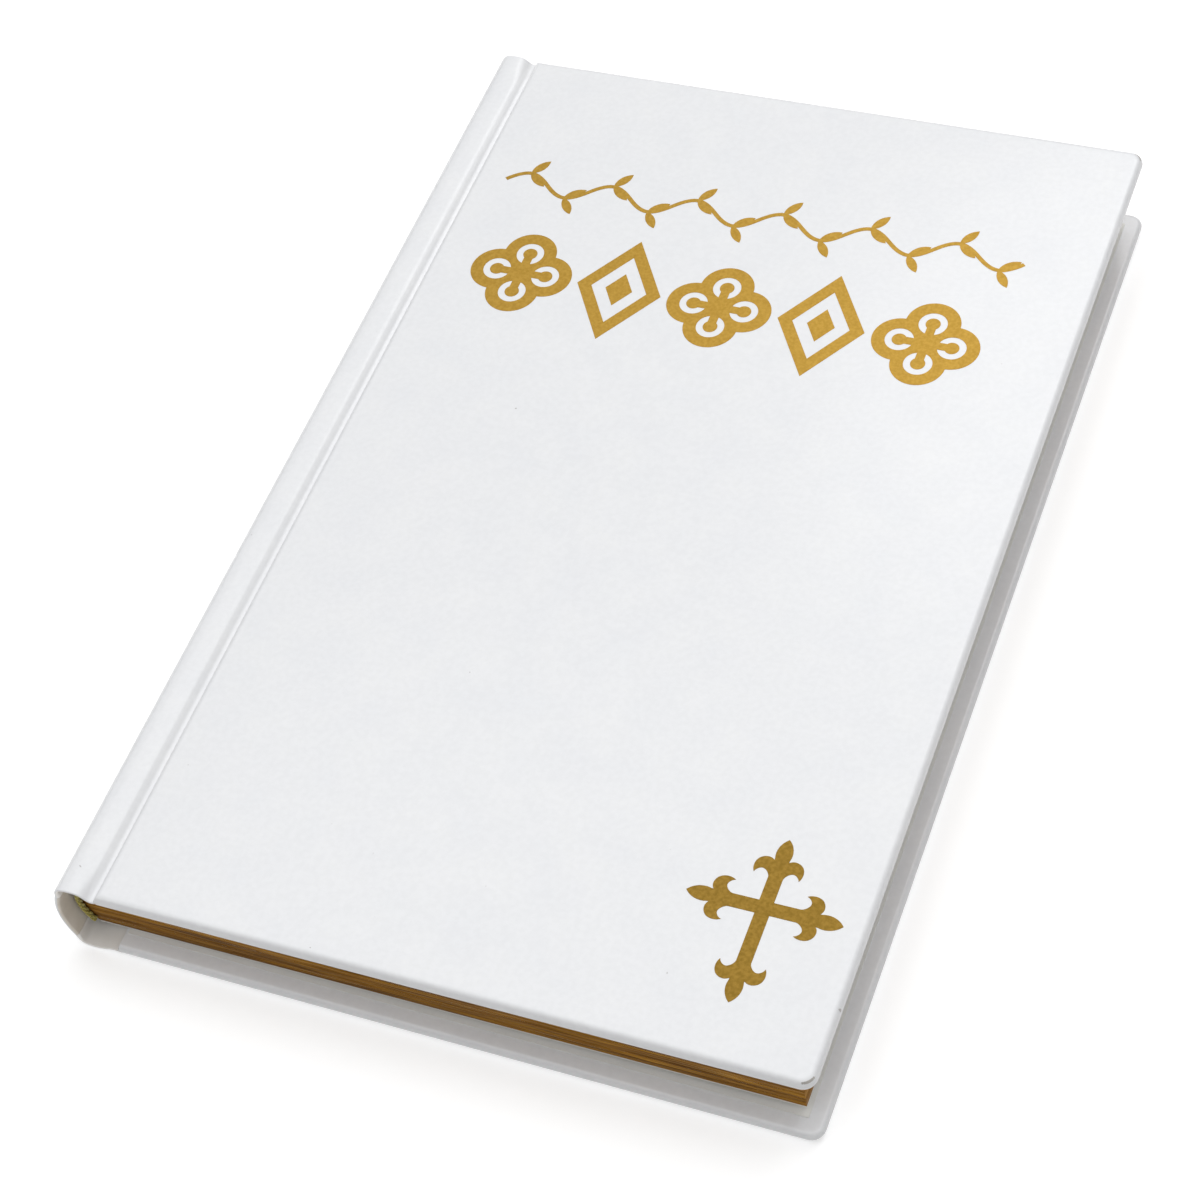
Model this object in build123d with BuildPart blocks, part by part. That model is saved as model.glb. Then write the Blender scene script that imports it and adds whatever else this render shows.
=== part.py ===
from build123d import *
from math import asin, cos, degrees, pi, radians, sin
import os

# A casebound book with a rounded, hollow back, lying closed on its back cover.
# Units are millimetres. +X runs from the spine to the fore edge, +Y from tail to head, +Z up.
# The origin is the middle of the footprint, on the surface that the back cover rests on.

# ---- driving dimensions ----
book_height = 216.0
book_width = 140.6
gape = 0.7                    # degrees that the pages and front cover rise towards the fore edge
fit_gap = 0.04                # between loose leaves

board_thickness = 2.1
paper = 0.2                   # printed cover paper, endpapers
cover_thickness = board_thickness + 3 * paper
board_hinge = 9.6             # board's hinge edge, from the outermost line of the spine
corner_radius = 2.6           # cover corners in plan
edge_radius = 1.0             # cover edges in section
turn_in = 12.0                # cover paper folded over inside the board
flange_width = 18.0           # crash cloth glued inside each board
pastedown_margin = 3.2        # turned-in paper left showing round the pastedown

shoulder = 4.9                # block's shoulder, from the outermost line of the spine
block_lift = 3.0              # block's underside above the resting surface, at the shoulder
square = 3.6                  # cover standing past the block at the fore edge
end_square = 4.0              # the same at head and tail
leaf = 0.16                   # flyleaf thickness
section_count = 10
section_thickness = 1.2
spine_rise = 2.5              # how far the rounded back bulges
front_gap = 0.25              # pastedown to flyleaf

thread_layer = 0.2
mull_layer = 0.25
lining_layer = 0.3
panel_thickness = 0.7
panel_rise = 1.3
bead_radius = 0.6
bead_drop = 0.35              # bead's centre past the block's end
tape_length = 10.0
mull_short = 15.0             # crash cloth ends this far inside the block's ends

hinge_in = 1.2                # cover and leaf pivot, on the spine side of the shoulder
hinge_over = 0.3              # and above the block
moving_sections = 3           # front sections that turn with the cover

stitch_stations = 6
stitch_pitch = 30.0
stitch_width = 0.8

foil = 0.05

# ---- places worked out from them ----
left = -book_width / 2
half_height = book_height / 2
block_half_height = half_height - end_square
section_pitch = section_thickness + fit_gap
block_thickness = 2 * (leaf + fit_gap) + section_count * section_pitch - fit_gap
block_width = book_width - square - shoulder
cover_width = book_width - board_hinge
cover_start = board_hinge - shoulder
cover_bottom = block_thickness + front_gap
cover_top = cover_bottom + cover_thickness

tilt = radians(gape)
tilted_x = (cos(tilt), 0, sin(tilt))
tilted_z = (-sin(tilt), 0, cos(tilt))
shoulder_point = (left + shoulder, 0, block_lift)
# Seen from above: X from the shoulder towards the fore edge, Y towards the head.
block_plane = Plane(origin=shoulder_point, x_dir=tilted_x, z_dir=tilted_z)
# Seen from the tail: X from the shoulder towards the fore edge, Y up through the block.
end_plane = Plane(origin=shoulder_point, x_dir=tilted_x, z_dir=(0, -1, 0))
back_plane = Plane(origin=(left + board_hinge, 0, 0))

middle = block_thickness / 2
back_radius = (middle**2 + spine_rise**2) / (2 * spine_rise)
back_centre = back_radius - spine_rise

solids = []


def keep(part, label):
    """Name a finished sub-part and put it on the list to be written."""
    part.label = label
    solids.append(part)


def back_arc(radius, low, high, grow):
    """A curved strip outside the rounded back, between two heights of the block."""
    low_angle = 180 + degrees(asin((middle - low) / radius))
    high_angle = 180 - degrees(asin((high - middle) / radius))
    with BuildLine() as outline:
        CenterArc((back_centre, middle), radius, high_angle, low_angle - high_angle)
        CenterArc((back_centre, middle), radius + grow, high_angle, low_angle - high_angle)
        inner, outer = outline.edges()
        Line(inner @ 0, outer @ 0)
        Line(inner @ 1, outer @ 1)
    make_face(outline.edges())


# ---- the covers ----
# Each is drawn outer face down, hinge edge at X = 0; the front one is turned over on its plane.

def cover_outline(inset, hinge_inset, radius):
    """The cover's shape in plan, drawn in from its edges."""
    width = cover_width - inset - hinge_inset
    height = book_height - 2 * inset
    with Locations((hinge_inset + width / 2 - radius / 2, 0)):
        Rectangle(width - radius, height)
    with Locations((cover_width - inset - radius, 0)):
        Rectangle(2 * radius, height - 2 * radius)
    with Locations(*((cover_width - inset - radius, side * (height / 2 - radius)) for side in (-1, 1))):
        Circle(radius)


def board(plane, label):
    with BuildPart() as body:
        with BuildSketch(plane.offset(paper)):
            cover_outline(paper, paper, corner_radius - paper)
        extrude(amount=board_thickness)
        rims = body.faces().filter_by(lambda f: abs(f.normal_at().dot(plane.z_dir)) > 0.99).edges()
        fillet(rims, edge_radius - paper)
    keep(body.part, label)
    return body.part


def window(grow):
    """The part of the board's inner face that neither turn-in nor crash cloth covers."""
    low_x = flange_width - grow
    high_x = cover_width - turn_in + grow
    with Locations(((low_x + high_x) / 2, 0)):
        Rectangle(high_x - low_x, book_height - 2 * turn_in + 2 * grow)


def cover_wrap(plane, core, label):
    inner = paper + board_thickness
    with BuildPart() as body:
        with BuildSketch(plane):
            cover_outline(0, 0, corner_radius)
        extrude(amount=inner + paper)
        rims = body.faces().filter_by(lambda f: abs(f.normal_at().dot(plane.z_dir)) > 0.99).edges()
        fillet(rims, edge_radius)
        add(core, mode=Mode.SUBTRACT)
        with BuildSketch(plane.offset(inner)):
            width = cover_width - turn_in
            with Locations((width / 2, 0)):
                Rectangle(width, book_height - 2 * turn_in)
        extrude(amount=paper, mode=Mode.SUBTRACT)
    keep(body.part, label)


def crash_flange(plane, label):
    with BuildPart() as body:
        with BuildSketch(plane.offset(paper + board_thickness)):
            start = edge_radius
            with Locations(((start + flange_width) / 2, 0)):
                Rectangle(flange_width - start, book_height - 2 * turn_in)
        extrude(amount=paper)
    keep(body.part, label)


def pastedown(plane, label):
    inner = paper + board_thickness
    with BuildPart() as body:
        with BuildSketch(plane.offset(inner + paper)):
            width = cover_width - pastedown_margin - edge_radius
            with Locations((edge_radius + width / 2, 0)):
                Rectangle(width, book_height - 2 * pastedown_margin)
        extrude(amount=paper)
        with BuildSketch(plane.offset(inner + paper)):
            window(-paper)
        extrude(amount=paper, mode=Mode.SUBTRACT)
        with BuildSketch(plane.offset(inner)):
            window(0)
        extrude(amount=paper)
    keep(body.part, label)


front_plane = Plane(
    origin=block_plane.from_local_coords((cover_start, 0, cover_top)),
    x_dir=tilted_x,
    z_dir=tuple(-v for v in tilted_z),
)
for side, plane in (("front", front_plane), ("back", back_plane)):
    core = board(plane, f"{side}_board")
    cover_wrap(plane, core, f"{side}_cover_wrap")
    crash_flange(plane, f"{side}_mull_flange")
    pastedown(plane, f"{side}_pastedown")


# ---- the block of pages ----

def block_slab(low, thickness, start, label):
    """Leaves between two heights of the block, their spine edge on the rounded back."""
    with BuildPart() as body:
        with BuildSketch(end_plane):
            with Locations(((start + block_width) / 2, low + thickness / 2)):
                Rectangle(block_width - start, thickness)
            with BuildSketch(mode=Mode.PRIVATE) as allowed:
                with Locations((back_centre, middle)):
                    Circle(back_radius)
                with Locations((back_centre + block_width / 2, middle)):
                    Rectangle(block_width, 3 * block_thickness)
            add(allowed.sketch, mode=Mode.INTERSECT)
        extrude(amount=block_half_height, both=True)
    keep(body.part, label)


trimmed_back = fit_gap * 2 - hinge_in
block_slab(0, leaf, -spine_rise, "back_flyleaf")
for number in range(section_count):
    from_front = section_count - number
    low = leaf + fit_gap + number * section_pitch
    start = trimmed_back if from_front <= moving_sections else -spine_rise
    block_slab(low, section_thickness, start, f"section_{from_front:02d}")
block_slab(block_thickness - leaf, leaf, -spine_rise, "front_flyleaf")


# ---- what holds the sections together ----
still_top = leaf + fit_gap + (section_count - moving_sections) * section_pitch
lining_low = 0.8
lining_high = block_thickness - lining_low

with BuildPart() as sewing_thread:
    for station in range(stitch_stations):
        along = (station - (stitch_stations - 1) / 2) * stitch_pitch
        with BuildSketch(end_plane.offset(-along)):
            back_arc(back_radius, lining_low, still_top - lining_low, thread_layer)
        extrude(amount=stitch_width / 2, both=True)
keep(sewing_thread.part, "sewing_thread")

mull_radius = back_radius + thread_layer
with BuildPart() as mull:
    with BuildSketch(end_plane):
        back_arc(mull_radius, lining_low, lining_high, mull_layer)
    extrude(amount=block_half_height - mull_short, both=True)
keep(mull.part, "mull")

lining_radius = mull_radius + mull_layer
with BuildPart() as spine_lining:
    with BuildSketch(end_plane):
        back_arc(lining_radius, lining_low, lining_high, lining_layer)
    extrude(amount=block_half_height - fit_gap, both=True)
keep(spine_lining.part, "spine_lining")


def end_band(sign, label):
    """A woven band: a round bead along the end of the back, on a tape glued below it."""
    bead_y = sign * (block_half_height + bead_drop)
    bead_back = mull_radius - bead_radius + mull_layer
    low_angle = degrees(asin((middle - lining_low) / mull_radius))
    with BuildPart() as body:
        with BuildLine(end_plane.offset(-bead_y)) as route:
            CenterArc((back_centre, middle), bead_back, 180 - low_angle, 2 * low_angle)
        with BuildSketch(Plane(origin=route.line @ 0, z_dir=route.line % 0)):
            Circle(bead_radius)
        sweep()
        with BuildSketch(end_plane):
            with Locations((back_centre + block_width / 2 - back_radius, middle)):
                Rectangle(block_width, 2 * block_thickness)
        extrude(amount=block_half_height + fit_gap, both=True, mode=Mode.SUBTRACT)
        with BuildSketch(end_plane.offset(-sign * (block_half_height - tape_length))):
            back_arc(mull_radius, lining_low, lining_high, mull_layer)
        extrude(amount=-sign * (tape_length + bead_drop))
    keep(body.part, label)


end_band(1, "head_band")
end_band(-1, "tail_band")


# ---- the hollow spine and the joints ----
panel_radius = (middle**2 + panel_rise**2) / (2 * panel_rise)
panel_angle = degrees(asin(middle / panel_radius))
panel_outer = -shoulder + paper
panel_centre = panel_outer + panel_radius


def spine_strip(inner_radius, outer_radius, height, label):
    """A curved strip standing behind the block, from shoulder to shoulder."""
    with BuildPart() as body:
        with BuildSketch(end_plane):
            with BuildLine() as outline:
                for radius in (inner_radius, outer_radius):
                    CenterArc((panel_centre, middle), radius, 180 - panel_angle, 2 * panel_angle)
                inner, outer = outline.edges()
                Line(inner @ 0, outer @ 0)
                Line(inner @ 1, outer @ 1)
            make_face()
        extrude(amount=height / 2, both=True)
    keep(body.part, label)


spine_strip(panel_radius - panel_thickness, panel_radius, book_height - 2 * paper, "spine_panel")
spine_strip(panel_radius, panel_radius + paper, book_height, "spine_wrap")

joint_thickness = 0.3
groove_depth = 1.0
edge_clear = 0.35
# The joint's way up from the spine's edge: X from that edge, and the drop below the roll's top or the face.
roll_shoulder = (1.3, 0.55)
roll_crest = 3.6
groove_start = 7.3
rise_tangent = (0.12, 1)
crest_slope = 0.35


def joint(flip, face, roll_proud, label):
    """The paper that crosses a joint: over the roll, down the groove and up to the board.

    face is the height of the cover's outer face, and roll_proud is how far the roll stands past it.
    """
    def at(x, height):
        return (x, height if not flip else block_thickness - height)

    edge_angle = radians(panel_angle)
    start_radius = panel_radius + paper / 2
    start_x = panel_centre - start_radius * cos(edge_angle)
    start_height = middle + start_radius * sin(edge_angle)
    roll_top = face + roll_proud - joint_thickness / 2
    side = -1 if flip else 1
    with BuildPart() as body:
        with BuildSketch(end_plane):
            with BuildLine():
                Spline(
                    at(start_x, start_height + joint_thickness),
                    at(start_x + roll_shoulder[0], roll_top - roll_shoulder[1]),
                    at(start_x + roll_crest, roll_top),
                    at(start_x + groove_start, face - groove_depth),
                    at(cover_start - edge_clear, face - edge_radius),
                    tangents=((rise_tangent[0], side * rise_tangent[1]), (1, side * crest_slope)),
                )
            trace(line_width=joint_thickness)
        extrude(amount=half_height, both=True)
    keep(body.part, label)


joint(False, cover_top, 0.25, "front_joint")
joint(True, block_thickness + block_lift, -0.2, "back_joint")


# ---- gold foil on the front cover ----
foil_face = block_plane.offset(cover_top)

cross_x = book_width - shoulder - 18.0
cross_y = -half_height + 29.6
cross_bar = 2.6
cross_reach = 13.8
cross_foot = 18.6
bud_half_width = 1.45
bud_half_length = 3.0
# A fleur's hook: how far each point stands out from the arm's middle line, and how far it is behind the tip.
hook_back = ((1.3, 4.4), (2.6, 4.0), (3.9, 4.7), (4.35, 6.0), (3.95, 7.5))
hook_front = ((3.95, 7.5), (3.55, 6.8), (2.75, 6.4), (1.95, 6.75), (1.3, 7.9))


def fleur(reach):
    """A fleur at the end of an arm that runs up from the middle of the cross."""
    bud_radius = (bud_half_width**2 + bud_half_length**2) / (2 * bud_half_width)
    bud_middle = reach - bud_half_length
    with Locations((0, bud_middle / 2)):
        Rectangle(cross_bar, bud_middle)
    with BuildSketch(mode=Mode.PRIVATE) as bud:
        with Locations((bud_radius - bud_half_width, bud_middle)):
            Circle(bud_radius)
        with Locations((bud_half_width - bud_radius, bud_middle)):
            Circle(bud_radius, mode=Mode.INTERSECT)
    add(bud.sketch)
    for hand in (-1, 1):
        with BuildLine() as outline:
            Spline([(hand * out, reach - behind) for out, behind in hook_back])
            Spline([(hand * out, reach - behind) for out, behind in hook_front])
            Polyline(
                (hand * hook_front[-1][0], reach - hook_front[-1][1]),
                (0, reach - hook_front[-1][1]),
                (0, reach - hook_back[0][1]),
                (hand * hook_back[0][0], reach - hook_back[0][1]),
            )
        make_face(outline.edges())


with BuildPart() as cross_foil:
    with BuildSketch(foil_face):
        for turn, reach in ((0, cross_reach), (90, cross_reach), (180, cross_foot), (270, cross_reach)):
            with BuildSketch(mode=Mode.PRIVATE) as arm:
                fleur(reach)
            with Locations(Location((cross_x, cross_y, 0), (0, 0, turn))):
                add(arm.sketch)
    extrude(amount=foil)
keep(cross_foil.part, "cross_foil")

row_centre = (book_width / 2 - shoulder + 0.7, half_height - 59.2)
row_pitch = 20.9
motif_count = 5
lobe_radius = 5.4
lobe_offset = 5.2
stroke = 2.6
bar_stroke = 1.8
bud_dot = 1.45
lozenge_half = (8.8, 13.4)
lozenge_hole = 0.66
lozenge_core = 0.32


def quatrefoil():
    """An open four-lobed ring round a small cross."""
    for radius, mode in ((lobe_radius, Mode.ADD), (lobe_radius - stroke, Mode.SUBTRACT)):
        with PolarLocations(lobe_offset, 4):
            Circle(radius, mode=mode)
    Rectangle(2 * lobe_offset, bar_stroke)
    Rectangle(bar_stroke, 2 * lobe_offset)
    with PolarLocations(lobe_offset, 4):
        Circle(bud_dot)


def lozenge(scale):
    """A diamond with its point to the head."""
    wide, tall = (value * scale for value in lozenge_half)
    with BuildLine() as outline:
        Polyline((wide, 0), (0, tall), (-wide, 0), (0, -tall), close=True)
    make_face(outline.edges())


with BuildPart() as title_foil:
    with BuildSketch(foil_face):
        for index in range(motif_count):
            place = (row_centre[0] + (index - (motif_count - 1) / 2) * row_pitch, row_centre[1])
            with BuildSketch(mode=Mode.PRIVATE) as motif:
                if index % 2 == 0:
                    quatrefoil()
                else:
                    lozenge(1)
                    with BuildSketch(mode=Mode.PRIVATE) as hole:
                        lozenge(lozenge_hole)
                    add(hole.sketch, mode=Mode.SUBTRACT)
                    lozenge(lozenge_core)
            with Locations(place):
                add(motif.sketch)
    extrude(amount=foil)
keep(title_foil.part, "title_foil")

vine_y = half_height - 35.0
vine_half_length = 54.5
vine_waves = 6
vine_swing = 2.6
vine_stroke = 0.9
steps_per_wave = 8
leaf_length = 5.0
leaf_width = 1.9
leaf_turns = (38, -55)        # degrees from the vine's line at each bend

with BuildPart() as vine_foil:
    with BuildSketch(foil_face):
        steps = steps_per_wave * vine_waves
        with BuildLine() as vine:
            Spline(
                [
                    (
                        row_centre[0] + vine_half_length * (2 * step / steps - 1),
                        vine_y + vine_swing * sin(2 * pi * vine_waves * step / steps),
                    )
                    for step in range(steps + 1)
                ]
            )
        trace(line_width=vine_stroke)
        leaf_radius = (leaf_width**2 + leaf_length**2) / (4 * leaf_width)
        with BuildSketch(mode=Mode.PRIVATE) as vine_leaf:
            with Locations((leaf_length / 2, leaf_radius - leaf_width / 2)):
                Circle(leaf_radius)
            with Locations((leaf_length / 2, leaf_width / 2 - leaf_radius)):
                Circle(leaf_radius, mode=Mode.INTERSECT)
        for bend in range(2 * vine_waves):
            side = 1 if bend % 2 == 0 else -1
            along = vine_half_length * ((2 * bend + 1) / (2 * vine_waves) - 1)
            place = (row_centre[0] + along, vine_y + side * vine_swing, 0)
            for turn in leaf_turns:
                with Locations(Location(place, (0, 0, -side * turn))):
                    add(vine_leaf.sketch)
    extrude(amount=foil)
keep(vine_foil.part, "vine_foil")

os.makedirs("parts", exist_ok=True)
for solid in solids:
    export_step(solid, f"parts/{solid.label}.step")
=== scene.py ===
import math
import random

import bmesh
import bpy
import numpy as np
from mathutils import Matrix, Vector


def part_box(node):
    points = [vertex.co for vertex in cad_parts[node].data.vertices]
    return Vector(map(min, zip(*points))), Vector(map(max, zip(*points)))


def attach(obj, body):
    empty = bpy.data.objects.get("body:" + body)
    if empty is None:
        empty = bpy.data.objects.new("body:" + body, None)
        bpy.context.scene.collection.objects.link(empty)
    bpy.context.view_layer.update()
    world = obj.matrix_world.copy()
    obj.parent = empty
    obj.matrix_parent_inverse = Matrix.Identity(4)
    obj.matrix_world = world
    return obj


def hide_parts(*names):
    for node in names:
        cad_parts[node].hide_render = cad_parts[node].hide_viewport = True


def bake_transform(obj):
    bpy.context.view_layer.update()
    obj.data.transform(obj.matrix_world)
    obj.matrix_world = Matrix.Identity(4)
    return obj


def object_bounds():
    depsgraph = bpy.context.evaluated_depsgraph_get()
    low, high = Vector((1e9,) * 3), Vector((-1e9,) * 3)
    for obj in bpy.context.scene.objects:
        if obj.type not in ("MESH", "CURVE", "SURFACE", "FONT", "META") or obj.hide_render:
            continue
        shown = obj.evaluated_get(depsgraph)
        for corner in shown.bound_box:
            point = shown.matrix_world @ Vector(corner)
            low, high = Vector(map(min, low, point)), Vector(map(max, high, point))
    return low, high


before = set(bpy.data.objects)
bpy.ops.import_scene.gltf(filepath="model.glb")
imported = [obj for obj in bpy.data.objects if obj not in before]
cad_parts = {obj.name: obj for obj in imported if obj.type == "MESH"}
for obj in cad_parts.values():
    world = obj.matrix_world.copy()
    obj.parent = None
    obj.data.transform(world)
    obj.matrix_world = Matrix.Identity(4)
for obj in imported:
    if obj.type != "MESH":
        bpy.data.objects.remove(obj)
cad_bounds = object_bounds()

# ---- the book's frame ----
# X runs from the spine to the fore edge, Y from tail to head, Z up. Profiles are in millimetres,
# from the block's shoulder, in the block's own plane, which rises towards the fore edge.

MM = 0.001
GAPE = math.radians(0.7)
BOOK_WIDE = 140.6
SHOULDER_IN = 4.9             # shoulder from the spine's outermost line
SHOULDER_UP = 3.0             # shoulder above the table
BLOCK_THICK = 12.76
BLOCK_WIDE = 132.1
MIDDLE = BLOCK_THICK / 2
PAPER = 0.2

back_low, back_high = (np.array(corner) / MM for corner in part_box("back_cover_wrap"))
half_height = (back_high[1] - back_low[1]) / 2
block_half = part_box("section_05")[1].y / MM
shoulder_x = back_high[0] - BOOK_WIDE + SHOULDER_IN


def row_point(x, y, z):
    """Block millimetres to metres in the row frame."""
    c, s = math.cos(GAPE), math.sin(GAPE)
    return ((shoulder_x + x * c - z * s) * MM, y * MM, (SHOULDER_UP + x * s + z * c) * MM)


def smooth_step(share):
    """0 to 1, with a level start and end."""
    return share * share * (3 - 2 * share)


# ---- the camera, from a perspective fit to the cover's edges ----

camera = bpy.data.objects.new("camera", bpy.data.cameras.new("camera"))
bpy.context.scene.collection.objects.link(camera)
camera.data.sensor_fit = "HORIZONTAL"
camera.data.sensor_width = 36.0
camera.data.lens = 88.06
camera.data.clip_start = 0.01
right = Vector((0.93071364, 0.34434118, -0.12329343))
up = Vector((-0.20477566, 0.76989994, 0.60441792))
camera.matrix_world = Matrix.Translation((0.16374, -0.31010, 0.43768)) @ Matrix(
    (right, up, right.cross(up))
).transposed().to_4x4()
bpy.context.scene.camera = camera
bpy.context.scene.view_settings.view_transform = "Standard"


# ---- materials ----

def noise(tree, scale, detail, stretch=None):
    """Noise in the piece's own coordinates."""
    where = tree.nodes.new("ShaderNodeTexCoord")
    source = where.outputs["Object"]
    if stretch:
        mapping = tree.nodes.new("ShaderNodeMapping")
        mapping.inputs["Scale"].default_value = stretch
        tree.links.new(source, mapping.inputs["Vector"])
        source = mapping.outputs["Vector"]
    node = tree.nodes.new("ShaderNodeTexNoise")
    node.inputs["Scale"].default_value = scale
    node.inputs["Detail"].default_value = detail
    tree.links.new(source, node.inputs["Vector"])
    return node.outputs["Fac"]


def ramp(tree, source, stops):
    """A colour ramp with its stops at (place, colour)."""
    node = tree.nodes.new("ShaderNodeValToRGB")
    band = node.color_ramp
    while len(band.elements) < len(stops):
        band.elements.new(0.5)
    for element, (place, colour) in zip(band.elements, stops):
        element.position = place
        element.color = (*colour, 1.0)
    tree.links.new(source, node.inputs["Fac"])
    return node.outputs["Color"]


def multiply(tree, first, second):
    """One colour times another."""
    node = tree.nodes.new("ShaderNodeMix")
    node.data_type = "RGBA"
    node.blend_type = "MULTIPLY"
    node.inputs["Factor"].default_value = 1.0
    tree.links.new(first, node.inputs["A"])
    tree.links.new(second, node.inputs["B"])
    return node.outputs["Result"]


def to_range(tree, source, low, high):
    """A value from 0 to 1, spread from low to high."""
    node = tree.nodes.new("ShaderNodeMapRange")
    node.inputs["To Min"].default_value = low
    node.inputs["To Max"].default_value = high
    tree.links.new(source, node.inputs["Value"])
    return node.outputs["Result"]


def bump(tree, source, distance, strength, under=None):
    """A bump of this height in metres, on top of another."""
    node = tree.nodes.new("ShaderNodeBump")
    node.inputs["Distance"].default_value = distance
    node.inputs["Strength"].default_value = strength
    tree.links.new(source, node.inputs["Height"])
    if under is not None:
        tree.links.new(under, node.inputs["Normal"])
    return node.outputs["Normal"]


def material(name, **sockets):
    """A Principled material, and its tree and shader, with these sockets set."""
    made = bpy.data.materials.new(name)
    made.use_nodes = True
    shader = made.node_tree.nodes["Principled BSDF"]
    for key, value in sockets.items():
        shader.inputs[key.replace("_", " ")].default_value = value
    return made, made.node_tree, shader


def painted_edge_shade(tree):
    """Painted shade: greyer where the surface turns down over an edge, darkest where it stands upright."""
    where = tree.nodes.new("ShaderNodeTexCoord")
    split = tree.nodes.new("ShaderNodeSeparateXYZ")
    level = tree.nodes.new("ShaderNodeMath")
    level.operation = "ABSOLUTE"
    tree.links.new(where.outputs["Normal"], split.inputs["Vector"])
    tree.links.new(split.outputs["Z"], level.inputs[0])
    upright_shade, sloping_shade, level_face = (0.76, 0.755, 0.75), (0.885, 0.88, 0.875), (1, 1, 1)
    return ramp(tree, level.outputs["Value"], [(0.1, upright_shade), (0.70, sloping_shade), (0.985, level_face)])


def cover_paper_material():
    """White printed paper under a satin laminate, with faint clouds, grain, a few dark flecks and painted
    shade where it turns down over an edge.
    """
    made, tree, shader = material("cover_paper", Coat_Weight=0.35, Coat_Roughness=0.18, Coat_IOR=1.5)
    cloud = ramp(tree, noise(tree, 110, 5), [(0.3, (0.785, 0.795, 0.815)), (0.7, (0.81, 0.817, 0.83))])
    grain = ramp(tree, noise(tree, 900, 2), [(0.35, (0.97, 0.97, 0.97)), (0.65, (1, 1, 1))])
    fleck = ramp(tree, noise(tree, 650, 1), [(0.150, (0.60, 0.57, 0.55)), (0.175, (1, 1, 1))])
    colour = multiply(tree, multiply(tree, multiply(tree, cloud, grain), fleck), painted_edge_shade(tree))
    tree.links.new(colour, shader.inputs["Base Color"])
    tree.links.new(to_range(tree, noise(tree, 130, 3), 0.30, 0.44), shader.inputs["Roughness"])
    soft = bump(tree, noise(tree, 70, 2), 0.00012, 0.5)
    tree.links.new(bump(tree, noise(tree, 1500, 2), 0.00001, 0.5, soft), shader.inputs["Normal"])
    return made


def paper_material(name, low, high, fibre=0.00001, rough=0.78):
    """Paper or board between two colours, its fibres this high in metres."""
    made, tree, shader = material(name, Roughness=rough)
    tree.links.new(ramp(tree, noise(tree, 260, 5), [(0.3, low), (0.7, high)]), shader.inputs["Base Color"])
    fibres = noise(tree, 1400, 3, stretch=(1, 0.35, 1))
    tree.links.new(bump(tree, fibres, fibre, 0.6), shader.inputs["Normal"])
    return made


def gilt_material():
    """Gold on the edges of the leaves: fine lines run along them, one leaf above another."""
    made, tree, shader = material("gilt_pages", Metallic=0.82)
    fine = ramp(
        tree,
        noise(tree, 1, 2, stretch=(60, 60, 9000)),
        [(0.32, (0.13, 0.053, 0.005)), (0.5, (0.265, 0.120, 0.012)), (0.68, (0.46, 0.235, 0.028))],
    )
    wide = ramp(
        tree,
        noise(tree, 1, 3, stretch=(25, 25, 1400)),
        [(0.35, (0.55, 0.50, 0.44)), (0.6, (1, 1, 1))],
    )
    tree.links.new(multiply(tree, fine, wide), shader.inputs["Base Color"])
    dull = to_range(tree, noise(tree, 1, 2, stretch=(90, 90, 5000)), 0.30, 0.55)
    tree.links.new(dull, shader.inputs["Roughness"])
    leaves = bump(tree, noise(tree, 1, 1, stretch=(40, 40, 16000)), 0.00003, 0.5)
    tree.links.new(leaves, shader.inputs["Normal"])
    return made


def foil_material(name, low, high, rough):
    """Stamped gold foil between two colours."""
    made, tree, shader = material(name, Metallic=0.9)
    tree.links.new(ramp(tree, noise(tree, 1600, 3), [(0.35, low), (0.65, high)]), shader.inputs["Base Color"])
    tree.links.new(to_range(tree, noise(tree, 700, 3), rough - 0.08, rough + 0.1), shader.inputs["Roughness"])
    tree.links.new(bump(tree, noise(tree, 2500, 2), 0.000015, 0.5), shader.inputs["Normal"])
    return made


def cloth_material(name, low, high, threads):
    """An open plain weave of threads per metre."""
    made, tree, shader = material(name, Roughness=0.85, Sheen_Weight=0.3)
    where = tree.nodes.new("ShaderNodeTexCoord")
    waves = []
    for direction in ("X", "Y"):
        wave = tree.nodes.new("ShaderNodeTexWave")
        wave.bands_direction = direction
        wave.inputs["Scale"].default_value = threads
        wave.inputs["Distortion"].default_value = 0.6
        tree.links.new(where.outputs["Object"], wave.inputs["Vector"])
        waves.append(wave.outputs["Fac"])
    weave = tree.nodes.new("ShaderNodeMath")
    weave.operation = "MAXIMUM"
    tree.links.new(waves[0], weave.inputs[0])
    tree.links.new(waves[1], weave.inputs[1])
    tree.links.new(ramp(tree, weave.outputs[0], [(0.2, low), (0.8, high)]), shader.inputs["Base Color"])
    tree.links.new(bump(tree, weave.outputs[0], 0.0001, 0.7), shader.inputs["Normal"])
    return made


cover_paper = cover_paper_material()
leaf_paper = paper_material("leaf_paper", (0.765, 0.735, 0.665), (0.785, 0.757, 0.69))
endpaper = paper_material("endpaper", (0.78, 0.77, 0.74), (0.80, 0.79, 0.76))
gilt = gilt_material()
cross_gold = foil_material("cross_gold", (0.225, 0.134, 0.019), (0.30, 0.181, 0.032), 0.5)
line_gold = foil_material("line_gold", (0.41, 0.241, 0.037), (0.49, 0.30, 0.055), 0.46)
greyboard = paper_material("greyboard", (0.30, 0.29, 0.27), (0.42, 0.40, 0.37), 0.00006, 0.9)
spine_card = paper_material("spine_card", (0.36, 0.32, 0.27), (0.45, 0.40, 0.34), 0.00003, 0.85)
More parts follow.
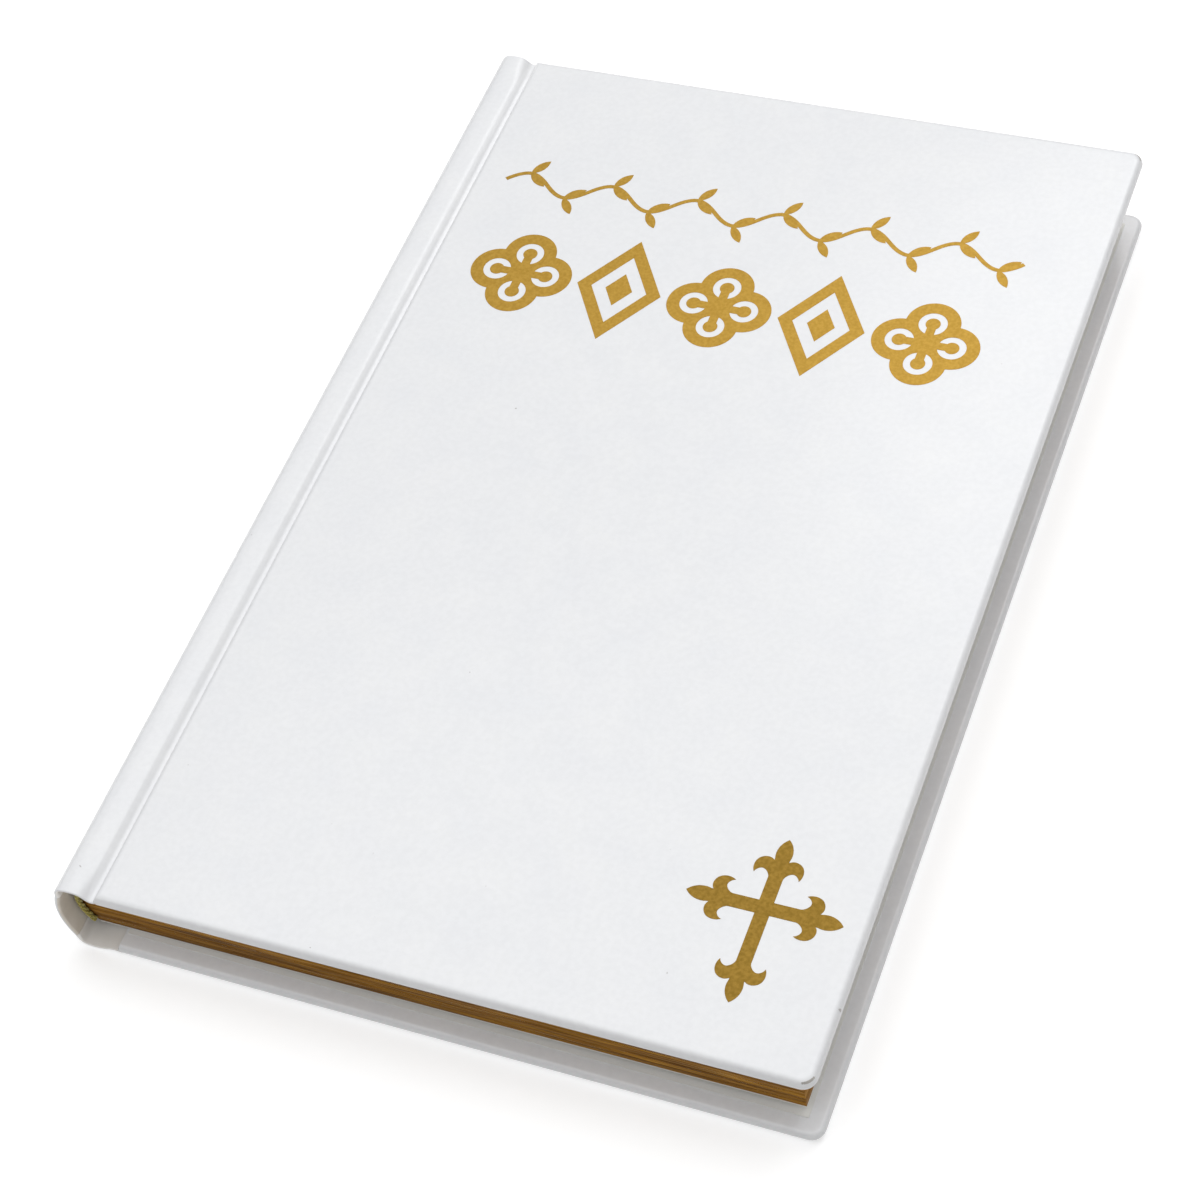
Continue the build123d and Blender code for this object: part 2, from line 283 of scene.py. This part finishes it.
# Painted shade: the white cover paper turned in inside the spine's hollow, coloured a darker warm beige for
# the shade there and the gilt's reflected light.
spine_hollow_shade = paper_material("spine_hollow_shade", (0.60, 0.545, 0.47), (0.68, 0.63, 0.56), 0.00002, 0.8)
joint_inside = paper_material("joint_inside", (0.79, 0.765, 0.73), (0.84, 0.82, 0.79), 0.00002, 0.7)
kraft = paper_material("kraft_lining", (0.24, 0.16, 0.095), (0.33, 0.23, 0.14), 0.00003, 0.85)
crash_cloth = cloth_material("crash_cloth", (0.30, 0.28, 0.23), (0.68, 0.65, 0.57), 320)
band_thread = cloth_material("band_thread", (0.17, 0.14, 0.022), (0.40, 0.34, 0.07), 900)
sewing = cloth_material("sewing_thread", (0.55, 0.53, 0.48), (0.80, 0.78, 0.72), 1500)


# ---- mesh building ----

def add_piece(name, points, faces, materials, picks=None):
    """A mesh object from points in metres in the row frame. picks gives each face's material."""
    mesh = bpy.data.meshes.new(name)
    mesh.from_pydata([tuple(p) for p in points], [], [tuple(f) for f in faces])
    for one in materials:
        mesh.materials.append(one)
    if picks is not None:
        mesh.polygons.foreach_set("material_index", picks)
    mesh.polygons.foreach_set("use_smooth", [True] * len(faces))
    mesh.validate()
    mesh.update()
    piece = bpy.data.objects.new(name, mesh)
    bpy.context.scene.collection.objects.link(piece)
    return piece


def sharpen(piece, degrees):
    """Smooth shading, apart from edges sharper than this."""
    mesh = piece.data
    normals = {}
    for polygon in mesh.polygons:
        for key in polygon.edge_keys:
            normals.setdefault(key, []).append(Vector(polygon.normal))
    limit = math.radians(degrees)
    for edge in mesh.edges:
        pair = normals.get(tuple(sorted(edge.vertices)), [])
        edge.use_edge_sharp = len(pair) == 2 and pair[0].angle(pair[1], 0.0) > limit


def outward(piece):
    """Turns every face of a closed mesh to look outward."""
    mesh = bmesh.new()
    mesh.from_mesh(piece.data)
    bmesh.ops.recalc_face_normals(mesh, faces=mesh.faces)
    mesh.to_mesh(piece.data)
    mesh.free()


def ring_faces(rings, count):
    """Quads between rings of points that follow one another."""
    faces = []
    for ring in range(rings - 1):
        here, there = ring * count, (ring + 1) * count
        for k in range(count):
            n = (k + 1) % count
            faces.append((here + k, here + n, there + n, there + k))
    return faces


def tube_faces(rings, count, base=0):
    """Faces of a tube of rings whose points start at base, and of its two ends."""
    faces = ring_faces(rings, count)
    faces.append(tuple(range(count)))
    faces.append(tuple((rings - 1) * count + k for k in range(count)))
    return [tuple(base + v for v in face) for face in faces]


def sheet_faces(rings, n):
    """Faces of a closed sheet: rings of n points on one side and n back along the other, and its ends."""
    count = 2 * n
    faces = ring_faces(rings, count)
    last = (rings - 1) * count
    for k in range(n - 1):
        faces.append((k + 1, k, count - 1 - k, count - 2 - k))
        faces.append((last + k, last + k + 1, last + count - 2 - k, last + count - 1 - k))
    return faces


def smooth_path(points, count):
    """A smooth line through the points, as count evenly spaced ones (Catmull-Rom)."""
    p = np.array(points, float)
    p = np.vstack([2 * p[0] - p[1], p, 2 * p[-1] - p[-2]])
    fine = []
    for i in range(1, len(p) - 2):
        a, b, c, d = p[i - 1 : i + 3]
        for t in np.linspace(0, 1, 40, endpoint=False):
            square, cube = 2 * a - 5 * b + 4 * c - d, 3 * b - a - 3 * c + d
            fine.append(0.5 * (2 * b + (c - a) * t + square * t**2 + cube * t**3))
    fine.append(p[-2])
    fine = np.array(fine)
    run = np.concatenate([[0], np.cumsum(np.linalg.norm(np.diff(fine, axis=0), axis=1))])
    even = np.linspace(0, run[-1], count)
    return np.stack([np.interp(even, run, fine[:, k]) for k in range(2)], axis=1)


def path_normals(path):
    """Unit normals to the left of a line of points."""
    along = np.gradient(path, axis=0)
    along /= np.linalg.norm(along, axis=1)[:, None]
    return np.stack([-along[:, 1], along[:, 0]], axis=1)


def folded_strip(name, path, thickness, half, materials, dip=0.0, dip_run=1.0):
    """A sheet with this outer line seen from the tail, this thick at each point, its two ends folded over.

    Over dip_run at each end it sinks by dip, which may differ along the line. All in row millimetres."""
    thinnest = 0.03
    sinking = dip + np.zeros(len(path))
    sinking = np.concatenate([sinking, sinking[::-1]])
    thick = np.array(thickness)
    lift_out = path_normals(path) * thick[:, None] / 2
    core = path - lift_out
    turns = np.linspace(0, math.pi / 2, 7)
    near_tail = np.linspace(-0.985, -0.9, 7)
    places = np.concatenate([near_tail, np.linspace(-0.85, 0.85, 18), -near_tail[::-1]])
    stations = [(-1, t) for t in turns] + [(y, None) for y in places] + [(1, t) for t in turns[::-1]]
    points = []
    for y, turn in stations:
        if turn is None:
            lift, along = lift_out, np.full(len(path), y * half)
        else:
            lift = lift_out * max(math.sin(turn), thinnest)
            along = y * (half - thick / 2 * (1 - math.cos(turn)))
        sheet = np.vstack([core + lift, (core - lift)[::-1]])
        for (x, z), v, sink in zip(sheet, np.concatenate([along, along[::-1]]), sinking):
            near_end = min(max((abs(v) - half + dip_run) / dip_run, 0.0), 1.0)
            points.append((x * MM, v * MM, (z - sink * smooth_step(near_end)) * MM))
    n = len(path)
    faces = sheet_faces(len(stations), n)
    picks = [int(min(v % (2 * n) for v in face) >= n - 1) for face in faces]
    piece = add_piece(name, points, faces, materials, picks)
    outward(piece)
    sharpen(piece, 55)
    return piece


# ---- cover paper on the two boards ----
# Covers are drawn with X from the hinge edge and Z from the outer face inward.

COVER_THICK = 2.7
COVER_TOP = 15.71             # front cover's outer face, in the block's frame
COVER_START = 4.7             # its hinge edge, in the block's frame
COVER_WIDE = 131.0
CORNER = 2.6                  # corner radius in plan
CORNER_KEEP = 0.8             # how much less round a corner gets as its ring is drawn in
EDGE = 1.45                   # outer edge's radius in section
INNER_EDGE = 1.0
HINGE_SOFT = 1.4              # how far the hinge edge slopes
HINGE_IN = 0.45
TURN_IN = 12.0                # paper folded over inside the board
TURN_IN_HINGE = 1.4
TURN_IN_CORNER = 0.3
HINGE_RIM = 3.0               # within these of an edge, the paper's thickness runs sideways too
RIM = 6.0
cover_inside = COVER_THICK - PAPER


def cover_ring(inset, hinge_inset, radius, z):
    """One turn round the cover's plan at this height, with rounded fore corners."""
    x0, x1, y = hinge_inset, COVER_WIDE - inset, half_height - inset
    turn = np.linspace(0, math.pi / 2, 9)
    points = [(x, -y) for x in np.linspace(x0, x1 - radius, 7)[:-1]]
    points += [(x1 - radius + radius * math.sin(t), -y + radius - radius * math.cos(t)) for t in turn]
    points += [(x1, v) for v in np.linspace(-y + radius, y - radius, 9)[1:-1]]
    points += [(x1 - radius + radius * math.cos(t), y - radius + radius * math.sin(t)) for t in turn]
    points += [(x, y) for x in np.linspace(x1 - radius, x0, 7)[1:]]
    points += [(x0, v) for v in np.linspace(y, -y, 9)[1:-1]]
    return [(px, py, z) for px, py in points]


def paper_inside(x, y, z):
    """The point on the cover paper's inner side that faces this one on its outer side."""
    if x < HINGE_RIM:
        x += PAPER
    elif x > COVER_WIDE - RIM:
        x -= PAPER
    if abs(y) > half_height - RIM:
        y -= math.copysign(PAPER, y)
    return x, y, min(max(z, PAPER), cover_inside - PAPER)


def cover_skin(name, place, body, node):
    """The paper on one board: its outer face, its rounded edges and the turn-in, with a soft hinge edge."""
    steps = np.linspace(0, math.pi / 2, 9)
    rings = [cover_ring(TURN_IN, TURN_IN_HINGE, TURN_IN_CORNER, cover_inside)]
    for t in steps:
        drawn_in = INNER_EDGE * (1 - math.sin(t))
        z = cover_inside - INNER_EDGE * (1 - math.cos(t))
        rings.append(cover_ring(drawn_in, HINGE_IN, CORNER - drawn_in * CORNER_KEEP, z))
    for t in steps:
        drawn_in = EDGE * (1 - math.cos(t))
        slope = HINGE_SOFT * (1 - math.cos(t))
        z = EDGE * (1 - math.sin(t))
        rings.append(cover_ring(drawn_in, slope, CORNER - drawn_in * CORNER_KEEP, z))
    count = len(rings[0])
    outer_faces = ring_faces(len(rings), count)
    outer_faces.append(tuple((len(rings) - 1) * count + k for k in range(count)))
    points = [place(*p) for ring in rings for p in ring]
    base = len(points)
    points += [place(*paper_inside(*p)) for ring in rings for p in ring]
    faces = outer_faces + [tuple(base + v for v in reversed(face)) for face in outer_faces]
    for k in range(count):
        n = (k + 1) % count
        faces.append((k, base + k, base + n, n))
    piece = add_piece(name, points, faces, [cover_paper])
    outward(piece)
    sharpen(piece, 40)
    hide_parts(node)
    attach(piece, body)


def on_front(x, y, z):
    """The front cover's millimetres to metres in the row frame."""
    return row_point(COVER_START + x, y, COVER_TOP - z)


def on_back(x, y, z):
    """The back cover's millimetres to metres in the row frame."""
    return ((back_low[0] + x) * MM, y * MM, z * MM)


cover_skin("front_cover_skin", on_front, "front_cover", "front_cover_wrap")
cover_skin("back_cover_skin", on_back, "back_cover", "back_cover_wrap")


# ---- spine ----

PANEL_RISE = 1.3
PANEL_THICK = 0.7
PANEL_CLEAR = 0.95            # paper's thickness here, as a share, so that it clears the card
panel_radius = (MIDDLE**2 + PANEL_RISE**2) / (2 * PANEL_RISE)
panel_angle = math.asin(MIDDLE / panel_radius)
panel_centre = panel_radius - SHOULDER_IN + PAPER


def spine_skin():
    """Cover paper on the spine panel, turned in over the panel's two ends."""
    outer = panel_radius + PAPER
    inner = panel_radius - PANEL_THICK - PAPER
    fold = (outer - inner) / 2
    line = [(inner, -half_height + TURN_IN)]
    for t in np.linspace(0, math.pi, 13):
        line.append((inner + fold - fold * math.cos(t), -half_height + fold - fold * math.sin(t)))
    line += [(outer, y) for y in np.linspace(-half_height + fold, half_height - fold, 24)[1:-1]]
    for t in np.linspace(0, math.pi, 13):
        line.append((inner + fold + fold * math.cos(t), half_height - fold + fold * math.sin(t)))
    line.append((inner, half_height - TURN_IN))
    line = np.array(line)
    within = line + path_normals(line) * PAPER * PANEL_CLEAR
    loop = np.vstack([line, within[::-1]])
    points = []
    turns = np.linspace(-panel_angle, panel_angle, 25)
    for t in turns:
        for r, y in loop:
            points.append(row_point(panel_centre - r * math.cos(t), y, MIDDLE + r * math.sin(t)))
    faces = sheet_faces(len(turns), len(line))
    hollow = inner + fold
    # The turned-in faces inside the hollow take the painted shade.
    picks = [int(max(loop[v % len(loop)][0] for v in face) < hollow) for face in faces]
    piece = add_piece("spine_skin", points, faces, [cover_paper, spine_hollow_shade], picks)
    outward(piece)
    sharpen(piece, 50)
    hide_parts("spine_wrap")
    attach(piece, "block")


spine_skin()


# ---- the joints: cover paper from the spine over the roll, down the groove and up to the board ----

def flat(x, z):
    """Block millimetres to row millimetres, seen from the tail."""
    px, _, pz = row_point(x, 0, z)
    return (px / MM, pz / MM)


spine_edge = (
    panel_centre - (panel_radius + PAPER) * math.cos(panel_angle),
    (panel_radius + PAPER) * math.sin(panel_angle),
)
JOINT_THICK = 0.48            # paper and its turn-in
FOLD_THICK = PANEL_THICK + 2 * PAPER
TAPER = 3.2                   # how far from the spine's edge the one becomes the other
JOINT_POINTS = 56
GROOVE_AT = 3.5
GROOVE_WIDE = 1.3
END_DIP = 0.9                 # the groove is this much deeper at the head and tail
DIP_RUN = 7.0


def joint_thickness(path, from_start):
    """The spine's full thickness at its edge, thinning to the folded paper's."""
    run = np.concatenate([[0], np.cumsum(np.linalg.norm(np.diff(path, axis=0), axis=1))])
    run = run if from_start else run[-1] - run
    share = smooth_step(np.clip(run / TAPER, 0, 1))
    return FOLD_THICK + (JOINT_THICK - FOLD_THICK) * share


front_line = smooth_path(
    [
        flat(spine_edge[0], MIDDLE + spine_edge[1]),
        flat(-3.2, 14.25),
        flat(-2.25, 15.45),
        flat(-0.8, COVER_TOP + 0.16),
        flat(0.9, COVER_TOP + 0.19),
        flat(2.6, COVER_TOP + 0.05),
        flat(3.4, COVER_TOP - 0.32),
        flat(4.2, COVER_TOP - 0.86),
        flat(4.95, COVER_TOP - 1.08),
    ],
    JOINT_POINTS,
)
back_line = smooth_path(
    [
        (back_low[0] + 0.75, COVER_THICK - 1.95),
        (back_low[0] - 0.5, 0.95),
        (back_low[0] - 1.5, 0.84),
        (back_low[0] - 3.0, 0.42),
        (back_low[0] - 4.8, 0.14),
        (back_low[0] - 6.7, 0.48),
        (back_low[0] - 7.75, 1.45),
        flat(spine_edge[0], MIDDLE - spine_edge[1]),
    ],
    JOINT_POINTS,
)


groove_share = np.exp(-(((front_line[:, 0] - flat(GROOVE_AT, COVER_TOP)[0]) / GROOVE_WIDE) ** 2))
front_strip = folded_strip(
    "front_joint_paper",
    front_line,
    joint_thickness(front_line, True),
    half_height,
    [cover_paper, joint_inside],
    END_DIP * groove_share,
    DIP_RUN,
)
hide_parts("front_joint")
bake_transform(front_strip)

back_strip = folded_strip(
    "back_joint_paper", back_line, joint_thickness(back_line, False), half_height, [cover_paper, joint_inside]
)
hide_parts("back_joint")
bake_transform(back_strip)


# ---- the sections ----

BACK_RISE = 2.5
back_radius = (MIDDLE**2 + BACK_RISE**2) / (2 * BACK_RISE)
back_centre = back_radius - BACK_RISE
LEAF = 0.16
GAP = 0.04
SECTION = 1.2
SECTIONS = 10
MOVING = {1: "first_section", 2: "second_section", 3: "third_section"}
HINGE_SIDE = -1.2             # where the moving sections turn
moving_back = HINGE_SIDE + 2 * GAP
RIDGES = 8                    # ridges of leaves that show on a section's edge
RIDGE_DEEP = 0.028
LEAF_SPREAD = 0.014
LIP = 0.03                    # the outer leaves of a section stand back a little
FOLD_ROUND = 0.22
CLEAR = 0.01
WAVE = 0.012                  # slow waves along the cut edges


def back_of(z):
    """Where the rounded back of the block is at this height."""
    return back_centre - math.sqrt(back_radius**2 - (z - MIDDLE) ** 2)


def section_leaves(number, low):
    """The leaves of one section, from this height up.

    Their cut edges stand a hair unevenly, and their folds are rounded."""
    spread = random.Random(100 + number)
    levels = 2 * RIDGES + 1
    points = []
    for level in range(levels):
        share = level / (levels - 1)
        z = low + SECTION * share
        deep = (RIDGE_DEEP if level % 2 == 0 else 0.0) + spread.uniform(0, LEAF_SPREAD)
        if level in (0, levels - 1):
            deep += LIP
        fold = FOLD_ROUND * abs(2 * share - 1) ** 4
        x0 = (moving_back if number in MOVING else back_of(z)) + fold + CLEAR
        x1 = BLOCK_WIDE - deep
        y = block_half - deep
        phase = spread.uniform(0, 6)

        def wave(place, length):
            return WAVE * (1 + math.sin(place / length + phase))

        ring = [(x, -y + wave(x, 7)) for x in np.linspace(x0, x1, 19)[:-1]]
        ring += [(x1 - wave(v, 9), v) for v in np.linspace(-y, y, 27)[:-1]]
        ring += [(x, y - wave(x, 8)) for x in np.linspace(x1, x0, 19)[:-1]]
        ring += [(x0, v) for v in np.linspace(y, -y, 15)[:-1]]
        points += [row_point(px, py, z) for px, py in ring]
    count = len(ring)
    faces = ring_faces(levels, count)
    picks = [0] * len(faces) + [1, 1]
    faces.append(tuple(reversed(range(count))))
    faces.append(tuple((levels - 1) * count + k for k in range(count)))
    piece = add_piece(f"section_{number:02d}_leaves", points, faces, [gilt, leaf_paper], picks)
    outward(piece)
    sharpen(piece, 35)
    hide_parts(f"section_{number:02d}")
    return piece


for k in range(SECTIONS):
    number = SECTIONS - k
    piece = section_leaves(number, LEAF + GAP + k * (SECTION + GAP))
    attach(piece, MOVING.get(number, "block"))


# ---- bands ----

BEAD_RADIUS = 0.6
BEAD_DROP = 0.35              # bead's centre past the block's end
THREAD_LAYER = 0.2
MULL_LAYER = 0.25
LINING_LOW = 0.8              # the cloths on the back stop this far inside the shoulders
STRANDS = 3
STRAND_SHARE = 0.52           # a strand's radius, as a share of the bead's
TWIST = 4.0                   # length of one full twist
STRAND_CLEAR = 0.06           # the strands' centres and sides stay this far off the block's end
SIDE_CLEAR = 0.05
TAPE = 10.0
mull_radius = back_radius + THREAD_LAYER
bead_path = mull_radius - BEAD_RADIUS + MULL_LAYER
band_angle = math.asin((MIDDLE - LINING_LOW) / mull_radius)


def round_back(radius, turn, y):
    """A point this far round the rounded back, in metres in the row frame."""
    return row_point(back_centre - radius * math.cos(turn), y, MIDDLE + radius * math.sin(turn))


def band(name, sign, node):
    """A band: strands twisted into a bead along the block's end, on a tape glued to the back."""
    points, faces = [], []
    steps, sides = 132, 8
    strand = BEAD_RADIUS * STRAND_SHARE
    offset = BEAD_RADIUS - strand
    for s in range(STRANDS):
        base = len(points)
        for i in range(steps + 1):
            t = band_angle * (2 * i / steps - 1)
            turn = 2 * math.pi * (bead_path * (t + band_angle) / TWIST + s / STRANDS)
            radial = bead_path + offset * math.cos(turn)
            along = sign * (block_half + BEAD_DROP) + offset * math.sin(turn)
            along = sign * max(sign * along, block_half + STRAND_CLEAR)
            for k in range(sides):
                a = 2 * math.pi * k / sides
                y = sign * max(sign * (along + strand * math.sin(a)), block_half + SIDE_CLEAR)
                points.append(round_back(radial + strand * math.cos(a), t, y))
        faces += tube_faces(steps + 1, sides, base)
    base = len(points)
    turns = np.linspace(-band_angle, band_angle, 25)
    near, far = sign * (block_half + BEAD_DROP), sign * (block_half - TAPE)
    under, over = mull_radius, mull_radius + MULL_LAYER
    tape = [(under, near), (under, far), (over, far), (over, near)]
    points += [round_back(r, t, y) for t in turns for r, y in tape]
    faces += tube_faces(len(turns), len(tape), base)
    piece = add_piece(name, points, faces, [band_thread])
    outward(piece)
    sharpen(piece, 60)
    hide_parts(node)
    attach(piece, "block")


band("head_band_bead", 1, "head_band")
band("tail_band_bead", -1, "tail_band")


# ---- crash cloth ----

MULL_SHORT = 15.0             # the cloth ends this far inside the block's ends
FLANGE_START = 1.0
FLANGE_WIDE = 17.0
flange_at = COVER_THICK - 2 * PAPER
flange_half = half_height - TURN_IN


def cloth_sheet(name, place, half, node, body):
    """A thin cloth. place(share, y, face) is a point a share of the way across, on its face 0 or 1."""
    shares = np.linspace(0, 1, 21)
    stations = np.linspace(-half, half, 61)
    points = []
    for y in stations:
        points += [place(share, y, 1) for share in shares]
        points += [place(share, y, 0) for share in reversed(shares)]
    piece = add_piece(name, points, sheet_faces(len(stations), len(shares)), [crash_cloth])
    outward(piece)
    sharpen(piece, 40)
    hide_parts(node)
    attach(piece, body)


def on_spine(share, y, face):
    return round_back(mull_radius + MULL_LAYER * face, band_angle * (2 * share - 1), y)


def in_front(share, y, face):
    return on_front(FLANGE_START + FLANGE_WIDE * share, y, flange_at + PAPER * face)


def in_back(share, y, face):
    return on_back(FLANGE_START + FLANGE_WIDE * share, y, flange_at + PAPER * face)


cloth_sheet(
    "spine_cloth", on_spine, block_half - MULL_SHORT,
    "mull", "block",
)
cloth_sheet(
    "front_flange_cloth", in_front, flange_half,
    "front_mull_flange", "front_cover",
)
cloth_sheet(
    "back_flange_cloth", in_back, flange_half,
    "back_mull_flange", "back_cover",
)


# ---- carried-over CAD nodes ----

FINISHES = {
    "front_board": greyboard,
    "back_board": greyboard,
    "spine_panel": spine_card,
    "front_pastedown": endpaper,
    "back_pastedown": endpaper,
    "front_flyleaf": endpaper,
    "back_flyleaf": endpaper,
    "spine_lining": kraft,
    "sewing_thread": sewing,
    "cross_foil": cross_gold,
    "title_foil": line_gold,
    "vine_foil": line_gold,
}
for node, finish in FINISHES.items():
    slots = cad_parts[node].data.materials
    if len(slots) == 0:
        slots.append(finish)
    for k in range(len(slots)):
        slots[k] = finish


# ---- floor and light ----

def floor_material():
    """Plain white, faintly lit from within as a light table is, so that it stays even."""
    made, tree, shader = material("floor", Roughness=0.6, Emission_Strength=0.36)
    tint = ramp(tree, noise(tree, 6, 2), [(0.3, (0.77, 0.77, 0.77)), (0.7, (0.80, 0.80, 0.80))])
    tree.links.new(tint, shader.inputs["Base Color"])
    shader.inputs["Emission Color"].default_value = (1, 1, 1, 1)
    return made


REACH = 12.0
FLOOR_GAP = 0.0002
floor_z = cad_bounds[0][2] - FLOOR_GAP
floor_corners = [(x * REACH, y * REACH, floor_z) for x, y in ((-1, -1), (1, -1), (1, 1), (-1, 1))]
floor = add_piece("floor", floor_corners, [(0, 1, 2, 3)], [floor_material()])

world = bpy.data.worlds.new("studio")
bpy.context.scene.world = world
world.use_nodes = True
tree = world.node_tree
sky = tree.nodes.new("ShaderNodeTexCoord")
split = tree.nodes.new("ShaderNodeSeparateXYZ")
tree.links.new(sky.outputs["Generated"], split.inputs["Vector"])
height = tree.nodes.new("ShaderNodeMapRange")
for socket, value in {"From Min": 0.15, "From Max": 0.75, "To Min": 0.08, "To Max": 0.80}.items():
    height.inputs[socket].default_value = value
tree.links.new(split.outputs["Z"], height.inputs["Value"])
tree.links.new(height.outputs["Result"], tree.nodes["Background"].inputs["Strength"])
tree.nodes["Background"].inputs["Color"].default_value = (1.0, 1.0, 1.0, 1.0)


def area_light(name, place, size, power):
    """A softbox that looks at the origin."""
    data = bpy.data.lights.new(name, "AREA")
    data.shape = "RECTANGLE"
    data.size, data.size_y = size
    data.energy = power
    light = bpy.data.objects.new(name, data)
    bpy.context.scene.collection.objects.link(light)
    light.location = place
    light.rotation_euler = (-Vector(place)).to_track_quat("-Z", "Y").to_euler()


area_light("overhead", place=(-0.12, 0.0, 1.1), size=(1.2, 1.2), power=4.75)
area_light("back", place=(0.15, 1.0, 1.1), size=(0.9, 0.5), power=4.1)
